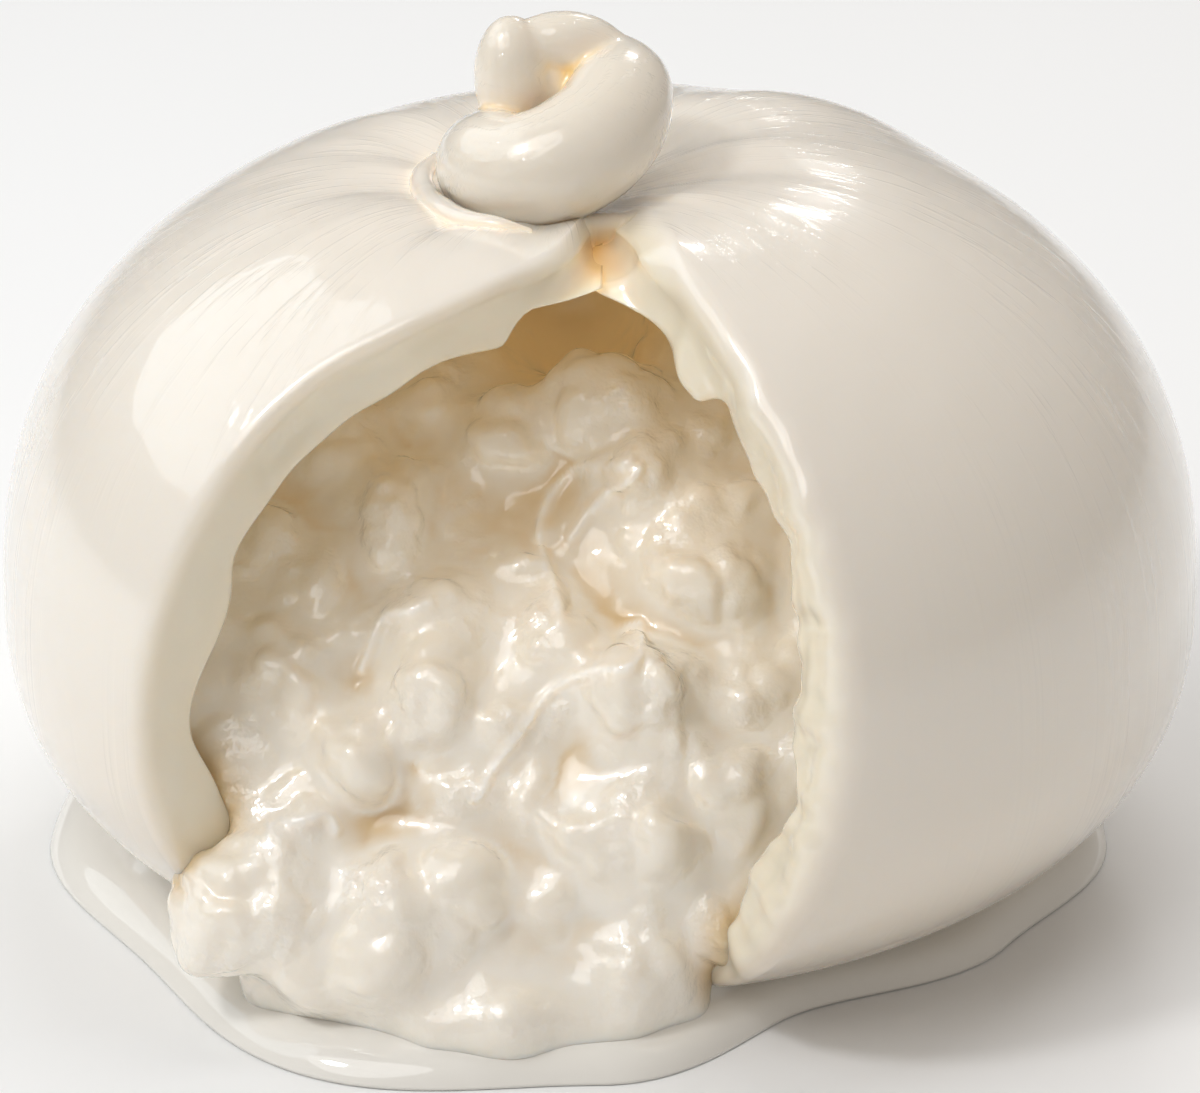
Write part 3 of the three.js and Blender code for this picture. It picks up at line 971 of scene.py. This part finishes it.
def skin_material(name, tints, cut_face):
    """Wet stretched curd, mottled, streaked towards the knot, with golden shade painted in its creases,
    painted shade on its lower part and a painted glow.
    """
    material, shader, nodes, place = new_material(name)
    soaked = nodes.attribute("soaked")
    cut = nodes.attribute("cut")
    mottling = nodes.maths("MULTIPLY", add_clouds(nodes, place, SKIN_CLOUDS), SKIN_MOTTLING)
    tint = nodes.mix(mottling, opaque(tints.skin), opaque(tints.shade))
    # Painted shade: the lower skin turns to the darker tone
    tint = nodes.mix(soaked, tint, opaque(tints.shade))
    tint = nodes.mix(cut, tint, opaque(cut_face))
    # Painted shade: golden colour in the creases
    tint = nodes.mix(nodes.attribute("crease"), tint, opaque(tints.crease))
    streaked = nodes.maths("SUBTRACT", 1.0, nodes.maths("MAXIMUM", cut, soaked))
    height = nodes.maths("MULTIPLY", add_streaks(nodes, place), streaked)
    nodes.feed(shader, tint, "Base Color")
    nodes.feed(shader, nodes.bump(height, *STREAK_BUMP), "Coat Normal")
    set_flesh(shader, SKIN_SOAK, SKIN_ROUGHNESS)
    add_painted_glow(material, shader, nodes, tints.crease)
    return material


def curd_material(tints):
    """Wet curds in cream, with golden shade painted where the light hardly gets in, and a painted glow.
    """
    material, shader, nodes, place = new_material("Stracciatella")
    cloud = add_clouds(nodes, place, CURD_CLOUDS)
    cream = nodes.attribute("cream")
    tint = nodes.mix(nodes.maths("MAXIMUM", cloud, cream), opaque(tints.curd), opaque(tints.cream))
    # Painted shade in the gaps and the air pocket; the film edges' whiter tint is partly a painted
    # highlight
    for where in ("gap", "deep", "film"):
        tint = nodes.mix(nodes.attribute(where), tint, opaque(getattr(tints, where)))
    dry = nodes.maths("SUBTRACT", 1.0, cream)
    grains = nodes.maths("MULTIPLY", nodes.span(cloud, GRAIN_LIMITS, GRAIN_SHARES), dry)
    height = add_wet_relief(nodes, place, CURD_SCALES, grains)
    nodes.feed(shader, tint, "Base Color")
    nodes.feed(shader, nodes.bump(height, *CURD_BUMP), "Normal", "Coat Normal")
    set_flesh(shader, CURD_SOAK, CURD_ROUGHNESS)
    add_painted_glow(material, shader, nodes, tints.deep)
    return material


def cream_material(name, tint):
    """Liquid cream."""
    material, shader, nodes, place = new_material(name)
    height = add_wet_relief(nodes, place, CREAM_SCALES, CREAM_RIPPLES)
    nodes.feed(shader, clouded(nodes, place, CREAM_CLOUDS, tint, CREAM_SHADE), "Base Color")
    nodes.feed(shader, nodes.bump(height, *CREAM_BUMP), "Normal")
    shader.inputs["Roughness"].default_value = CREAM_ROUGHNESS
    shader.inputs["Specular IOR Level"].default_value = CREAM_SHINE
    return material


def floor_material(tint):
    """A plain pale studio floor."""
    material, shader, nodes, place = new_material("Floor")
    nodes.feed(shader, clouded(nodes, place, FLOOR_CLOUDS, tint, FLOOR_SHADE), "Base Color")
    shader.inputs["Roughness"].default_value = FLOOR_ROUGHNESS
    return material


# Operators

class BURRATA_OT_stage(bpy.types.Operator):
    """Sets up the camera, the soft light and the floor"""

    bl_idname = "burrata.stage"
    bl_label = "Stage"

    def execute(self, context):
        scene = context.scene
        stage = scene.burrata.stage
        deselect()
        self.add_camera(scene, stage)
        self.add_lights(scene, stage)
        self.add_floor(stage)
        scene.view_settings.view_transform = "Standard"
        for kind, count in BOUNCES.items():
            setattr(scene.cycles, kind, count)
        return {"FINISHED"}

    def add_camera(self, scene, stage):
        back = stage.distance * math.cos(stage.elevation)
        up = stage.distance * math.sin(stage.elevation)
        bpy.ops.object.camera_add(
            location=(0, -back, stage.aim_height + up), rotation=(math.pi / 2 - stage.elevation, 0, 0)
        )
        camera = active_piece("camera")
        camera.data.lens = stage.lens
        camera.data.sensor_width = SENSOR_WIDTH
        scene.camera = camera

    def add_lights(self, scene, stage):
        for name, spot in LAMPS.items():
            self.add_softbox(name, *spot, getattr(stage, f"{name}_power"))
        bpy.data.objects["key"].data.color = stage.key_tint
        bpy.data.objects["top"].visible_glossy = False
        world = bpy.data.worlds.new("Studio")
        world.use_nodes = True
        sky = world.node_tree.nodes["Background"]
        sky.inputs["Color"].default_value = opaque(stage.sky_tint)
        sky.inputs["Strength"].default_value = stage.sky
        scene.world = world

    def add_softbox(self, name, azimuth, elevation, distance, size, power):
        way = Vector(way_to(azimuth, elevation))
        bpy.ops.object.light_add(type="AREA", location=(Vector(LAMP_AIM) + distance * way) * MM)
        lamp = active_piece(name)
        lamp.rotation_euler = way.to_track_quat("Z", "Y").to_euler()
        lamp.data.shape = "ELLIPSE"
        lamp.data.size, lamp.data.size_y = (side * MM for side in size)
        lamp.data.energy = power

    def add_floor(self, stage):
        bpy.ops.mesh.primitive_plane_add(size=FLOOR_SIZE * MM, location=(0, 0, -FLOOR_DROP * MM))
        floor = active_piece("floor")
        bpy.ops.object.transform_apply(location=True, rotation=False, scale=False)
        floor.data.materials.append(floor_material(stage.floor))
        deselect()


class BURRATA_OT_pouch(bpy.types.Operator):
    """Models the pouch: its skin, both lips of the cut and its inside"""

    bl_idname = "burrata.pouch"
    bl_label = "Pouch"

    def execute(self, context):
        sizes = context.scene.burrata.pouch
        skin = Skin(sizes)
        rings, torn, aside = pouch_rings(skin, sizes)
        cut = cut_share(len(rings))
        rings = tear_relief(rings, torn, aside)
        piece, ring, column = add_rolled_grid("pouch_skin", len(rings), COLUMNS)
        points = rings[ring, column]
        points[:, 2] += (1 - cut[ring]) * self.skin_relief(points, sizes.wrinkle / MM, skin)
        move_points(piece, points)
        keep_values(piece, "cut", cut[ring])
        keep_values(piece, "streak", self.streaks(points))
        # Painted shade: how far the lower skin is darkened
        keep_values(piece, "soaked", smooth_step(*LOW_SHADE_FROM, points[:, 2]))
        self.keep_shade_and_glow(piece, points, ring, lip_loop(skin)[column, 2], len(rings))
        close_up(piece)
        piece = join("pouch_skin", [piece, *self.add_collar(piece)])
        settle(piece, "pouch", skin_material("Pouch skin", sizes, sizes.cut))
        return {"FINISHED"}

    def keep_shade_and_glow(self, piece, points, ring, lip_height, count):
        """Stores where golden shade is painted: in the slit and on the ceiling, which also gets a
        painted glow.
        """
        inside = smooth_step(count - INNER_RINGS - INNER_LIP_RINGS, count - INNER_RINGS, ring)
        ceiling = inside * smooth_step(*CEILING_HEIGHTS, points[:, 2])
        bottom = smooth_step(OUTER_RINGS + LIP_RINGS / 2, OUTER_RINGS + LIP_RINGS + FACE_RINGS, ring)
        groove = bottom * smooth_step(*GROOVE_HEIGHTS, lip_height)
        keep_values(piece, "crease", np.maximum(groove, ceiling))
        keep_values(piece, "glow", ceiling)

    def add_collar(self, piece):
        """The rim of skin that lies round the foot of the knot."""
        skin = tree_of(piece)
        down = Vector((0, 0, -1))
        hits = [skin.ray_cast(Vector((*spot, COLLAR_DROP_FROM)) * MM, down)[0] for spot in COLLAR_LINE]
        return add_strand([hit / MM for hit in hits], COLLAR_RADII)

    def skin_relief(self, points, depth, skin):
        """Wrinkles and soft swells, on the upper skin alone."""
        x, y, z = points.T
        away = np.hypot(x - KNOT_X, y - KNOT_Y)
        fade = np.exp(-(((away - WRINKLE_REACH) / WRINKLE_SPREAD) ** 2))
        wrinkle = depth * wobble(self.streaks(points) * WRINKLE_STRETCH, 1) * fade
        swell = SWELL * wobble(points, SWELL_SIZE) + FINE_SWELL * wobble(points, FINE_SWELL_SIZE)
        return smooth_step(skin.belly, skin.belly + RELIEF_RISE, z) * (wrinkle + swell)

    def streaks(self, points):
        """Coordinates that are drawn out along the lines that run to the knot."""
        x, y, _ = points.T
        away = np.hypot(x - KNOT_X, y - KNOT_Y) + TINY
        fan = STREAK_FINENESS / away
        return np.stack([fan * (x - KNOT_X), fan * (y - KNOT_Y), away / STREAK_LENGTH], axis=1)


class BURRATA_OT_knot(bpy.types.Operator):
    """Models the knot as two strands that are fused where they touch"""

    bl_idname = "burrata.knot"
    bl_label = "Knot"

    def execute(self, context):
        burrata = context.scene.burrata
        deselect()
        parts = [part for path, radii in KNOT_STRANDS for part in add_strand(path, radii)]
        parts += [add_blob(*KNOT_LOBE), add_blob(*KNOT_CORE)]
        piece = fuse("knot", parts, burrata.knot.grain, KNOT_ROUNDS)
        points = points_of(piece)
        creases = smooth_step(*CREASE_DEPTHS, hollows(piece, normals_of(piece), CREASE_ROUNDS))
        keep_values(piece, "cut", np.zeros(len(points)))
        # Painted shade and a painted glow in the creases between the strands
        keep_values(piece, "crease", creases)
        keep_values(piece, "glow", creases)
        keep_values(piece, "streak", self.streaks(points))
        settle(piece, "pouch", skin_material("Knot skin", burrata.knot, burrata.pouch.cut))
        return {"FINISHED"}

    def streaks(self, points):
        """Coordinates that are drawn out along the nearest strand."""
        best = np.full(len(points), np.inf)
        found = np.zeros((len(points), 3))
        for path, radii in KNOT_STRANDS:
            line = smooth_path(path, STRAND_LINE_STEPS)
            thick = np.interp(np.linspace(0, 1, len(line)), np.linspace(0, 1, len(radii)), radii)
            away = np.linalg.norm(points[:, None] - line[None], axis=2)
            nearest = np.argmin(away - thick[None], axis=1)
            gap = away[np.arange(len(points)), nearest] - thick[nearest]
            out = STRAND_STREAK_FINENESS * unit(points - line[nearest])
            along = run_of(line)[nearest] / STRAND_STREAK_LENGTH
            here = np.column_stack([out[:, 0], out[:, 1] + out[:, 2], along])
            closer = gap < best
            best[closer] = gap[closer]
            found[closer] = here[closer]
        return found


class BURRATA_OT_filling(bpy.types.Operator):
    """Models the stracciatella from its solid: fused curds, lumps and cream in the gaps"""

    bl_idname = "burrata.filling"
    bl_label = "Stracciatella"

    def execute(self, context):
        sizes = context.scene.burrata.filling
        deselect()
        piece = self.copy_of_solid(context)
        piece = fuse("stracciatella", self.add_curds(piece), sizes.grain, FUSE_ROUNDS)
        self.close_gaps(piece, sizes.grain)
        self.add_lumps(piece, sizes.lump / MM)
        self.shape_foot(piece)
        bare = normals_of(piece)
        self.add_cream(piece, bare)
        self.keep_shade_and_glow(piece, bare)
        self.add_film_edges(piece)
        settle(piece, "filling", curd_material(sizes))
        return {"FINISHED"}

    def copy_of_solid(self, context):
        """The plain solid of the filling as a closed mesh of its own."""
        piece = bpy.data.objects.new("stracciatella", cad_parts["filling"].data.copy())
        context.scene.collection.objects.link(piece)
        piece.select_set(True)
        context.view_layer.objects.active = piece
        bpy.ops.object.mode_set(mode="EDIT")
        bpy.ops.mesh.select_all(action="SELECT")
        bpy.ops.mesh.remove_doubles(threshold=TINY)
        bpy.ops.object.mode_set(mode="OBJECT")
        return piece

    def add_curds(self, piece):
        """Smaller curds, bedded side by side in the face between the large ones."""
        draw = np.random.default_rng(CURD_SEED)
        face = tree_of(piece)
        placed = []
        curds = [piece]
        for _ in range(CURD_TRIES):
            x, z = draw.uniform(*CURD_X), draw.uniform(*CURD_Z)
            size = draw.uniform(*CURD_SIZES) * MM
            stretch = draw.uniform(*CURD_STRETCH, 3)
            turn = draw.uniform(0, math.pi, 3)
            spot, normal, _, _ = face.ray_cast(Vector((x, CURD_FROM_Y, z)) * MM, Vector((0, 1, 0)))
            if spot is None or any((spot - other).length < size + reach for other, reach in placed):
                continue
            placed.append((spot, size))
            middle = spot - CURD_SINK * size * normal
            bpy.ops.mesh.primitive_ico_sphere_add(
                subdivisions=CURD_DETAIL, radius=size, location=middle, rotation=turn, scale=stretch
            )
            curds.append(bpy.context.object)
        return curds

    def close_gaps(self, piece, grain):
        """Lets cream close the narrow gaps: the body swells, melts together and shrinks back."""
        move_points(piece, points_of(piece) + CREAM_BRIDGE * normals_of(piece))
        melt(piece, grain)
        move_points(piece, points_of(piece) - CREAM_BRIDGE * normals_of(piece))
        smooth(piece, CREAM_BRIDGE_ROUNDS)

    def add_lumps(self, piece, depth):
        """Bends the curds out of round, then raises lumps and grains on those that show."""
        points, normals = points_of(piece), normals_of(piece)
        shown = np.flatnonzero(points[:, 1] < max(SHOWN_Y))
        spots = points[shown]
        fade = smooth_step(*SHOWN_Y, spots[:, 1:2])
        noise.seed_set(SWAY_SEED)
        sway = np.array([noise.noise_vector(Vector(spot) / SWAY_SIZE) for spot in spots])
        height = sum(
            share * (lumps(spots, size, LUMP_SHIFT * size) - LUMP_MEAN)
            for size, share in zip(LUMP_SIZES, LUMP_SHARES)
        )
        points[shown] += fade * (SWAY * sway + depth * height[:, None] * normals[shown])
        move_points(piece, points)

    def shape_foot(self, piece):
        """Draws the foot in beside the right lip, spreads it at the front and smooths it."""
        points = points_of(piece)
        x, y, z = points.T
        pinch = smooth_step(*PINCH_X, x) * smooth_step(*PINCH_Y, y) * smooth_step(*PINCH_Z, z)
        points[:, 0] -= FOOT_PINCH * pinch
        foot = smooth_step(*FOOT_HEIGHTS, points[:, 2:3])
        in_front = smooth_step(*FOOT_FRONT_Y, points[:, 1:2])
        points[:, :2] += FOOT_FLARE * foot * in_front * unit(points[:, :2] - FOOT_MIDDLE)
        points += foot * (relaxed(points, edges_of(piece), FOOT_ROUNDS) - points)
        points[:, 2] = np.maximum(points[:, 2], FOOT_LIFT)
        move_points(piece, points)

    def add_cream(self, piece, bare):
        """Cream that lies in the gaps between bare curds, given their normals, and smooths them over."""
        depth = hollows(piece, bare, CREAM_ROUNDS)
        raised = points_of(piece) + (CREAM_FILL * np.clip(depth, 0, None))[:, None] * bare
        wet = smooth_step(*WET_DEPTHS, depth)
        share = DRY_SHARE + (1 - DRY_SHARE) * wet
        mild = relaxed(raised, edges_of(piece), WET_ROUNDS)
        move_points(piece, raised + share[:, None] * (mild - raised))
        keep_values(piece, "cream", wet)

    def keep_shade_and_glow(self, piece, bare):
        """Stores where golden shade is painted, given the bare curds' normals, and where a glow is
        painted.
        """
        points = points_of(piece)
        # Painted shade: golden in the gaps and at the seam with the skin
        gaps = smooth_step(*GAP_DEPTHS, hollows(piece, bare, GAP_ROUNDS))
        seam = np.exp(-((distances_to("pouch_skin", points) / SEAM_REACH) ** 2))
        # Painted shade deep in the air pocket, which also gets a painted glow
        deep = smooth_step(*POCKET_REACHES, np.linalg.norm(points - POCKET_MIDDLE, axis=1))
        # Painted glow towards the back, standing in for light through the wall
        through = THROUGH_WALL * smooth_step(*THROUGH_WALL_Y, points[:, 1])
        keep_values(piece, "gap", np.maximum(gaps, seam))
        keep_values(piece, "deep", deep)
        keep_values(piece, "glow", np.maximum(deep, through))

    def add_film_edges(self, piece):
        """Raises the thin edges of the cream film, on a mesh made finer along them."""
        piece.data.vertices.foreach_set("select", self.off_film_edges(points_of(piece)) < FILM_ZONE)
        bpy.ops.object.mode_set(mode="EDIT")
        bpy.ops.mesh.select_mode(type="VERT")
        bpy.ops.mesh.subdivide(number_cuts=1)
        bpy.ops.object.mode_set(mode="OBJECT")
        points = points_of(piece)
        ridge = np.exp(-((self.off_film_edges(points) / FILM_WIDTH) ** 2))
        move_points(piece, points + FILM_HEIGHT * ridge[:, None] * normals_of(piece))
        # The film edges' whiter tint is partly a painted highlight
        keep_values(piece, "film", ridge)

    def off_film_edges(self, points):
        """How far from the nearest film edge each point lies, seen from the front."""
        off = np.full(len(points), np.inf)
        for line in FILM_EDGES:
            for x, _, z in smooth_path([(x, 0, z) for x, z in line], FILM_STEPS):
                off = np.minimum(off, np.hypot(points[:, 0] - x, points[:, 2] - z))
        return np.where(points[:, 1] < 0, off, np.inf)


class BURRATA_OT_cream_pool(bpy.types.Operator):
    """Models the pool of cream round the foot"""

    bl_idname = "burrata.cream_pool"
    bl_label = "Cream pool"

    def execute(self, context):
        pool = context.scene.burrata.pool
        piece, ring, column = add_rolled_grid("pool_of_cream", POOL_RINGS, POOL_COLUMNS)
        out, up = self.edge(ring / (POOL_RINGS - 1))
        azimuth = column / POOL_COLUMNS * 2 * np.pi
        reach = out * self.reach(azimuth)
        height = up * pool.level / MM
        points = np.column_stack([reach * np.sin(azimuth), -reach * np.cos(azimuth), height])
        points[:, 2] += POOL_SWELL * up * wobble(points, POOL_SWELL_SIZE)
        surface = np.flatnonzero(up > POOL_SURFACE_FROM)
        points[surface, 2] += self.climb(points[surface])
        move_points(piece, points)
        close_up(piece)
        settle(piece, "cream_pool", cream_material("Cream", pool.cream))
        return {"FINISHED"}

    def edge(self, share):
        """How far out and how high, as shares, each ring from the underside to the surface lies."""
        line = smooth_path([(*spot, 0) for spot in POOL_EDGE], POOL_EDGE_STEPS)
        run = run_of(line * POOL_EDGE_SPAN)
        at = np.interp(share, np.linspace(0, 1, len(POOL_RING_RUNS)), run[-1] * np.array(POOL_RING_RUNS))
        return np.interp(at, run, line[:, 0]), np.interp(at, run, np.maximum(line[:, 1], 0))

    def climb(self, points):
        """How far the cream climbs up whatever stands in it."""
        away = np.minimum(distances_to("pouch_skin", points), distances_to("stracciatella", points))
        return CLIMB * np.exp(-away / CLIMB_REACH)

    def reach(self, azimuth):
        """How far the pool reaches at each azimuth."""
        count = len(POOL_REACH)
        place = (azimuth / (2 * np.pi) * count) % count
        before = np.floor(place).astype(int) % count
        ease = 0.5 - 0.5 * np.cos(np.pi * (place - np.floor(place)))
        reaches = np.array(POOL_REACH)
        return reaches[before] * (1 - ease) + reaches[(before + 1) % count] * ease


OPERATORS = (
    BURRATA_OT_stage,
    BURRATA_OT_pouch,
    BURRATA_OT_knot,
    BURRATA_OT_filling,
    BURRATA_OT_cream_pool,
)


class BURRATA_PT_panel(bpy.types.Panel):
    """Lists the pieces of the burrata"""

    bl_idname = "BURRATA_PT_panel"
    bl_label = "Burrata"
    bl_space_type = "VIEW_3D"
    bl_region_type = "UI"
    bl_category = "Burrata"

    def draw(self, context):
        for operator in OPERATORS:
            self.layout.operator(operator.bl_idname)
        for group in context.scene.burrata.bl_rna.properties:
            if group.type == "POINTER" and group.identifier != "rna_type":
                settings = getattr(context.scene.burrata, group.identifier)
                box = self.layout.box()
                for entry in settings.bl_rna.properties:
                    if not entry.is_readonly and entry.identifier != "name":
                        box.prop(settings, entry.identifier)


SETTINGS = (PouchSettings, KnotSettings, FillingSettings, PoolSettings, StageSettings, BurrataSettings)


def register():
    for made in (*SETTINGS, *OPERATORS, BURRATA_PT_panel):
        bpy.utils.register_class(made)
    bpy.types.Scene.burrata = bpy.props.PointerProperty(type=BurrataSettings)


def unregister():
    del bpy.types.Scene.burrata
    for made in reversed((*SETTINGS, *OPERATORS, BURRATA_PT_panel)):
        bpy.utils.unregister_class(made)


def main():
    register()
    for operator in OPERATORS:
        group, name = operator.bl_idname.split(".")
        getattr(getattr(bpy.ops, group), name)()


if __name__ == "__main__":
    main()
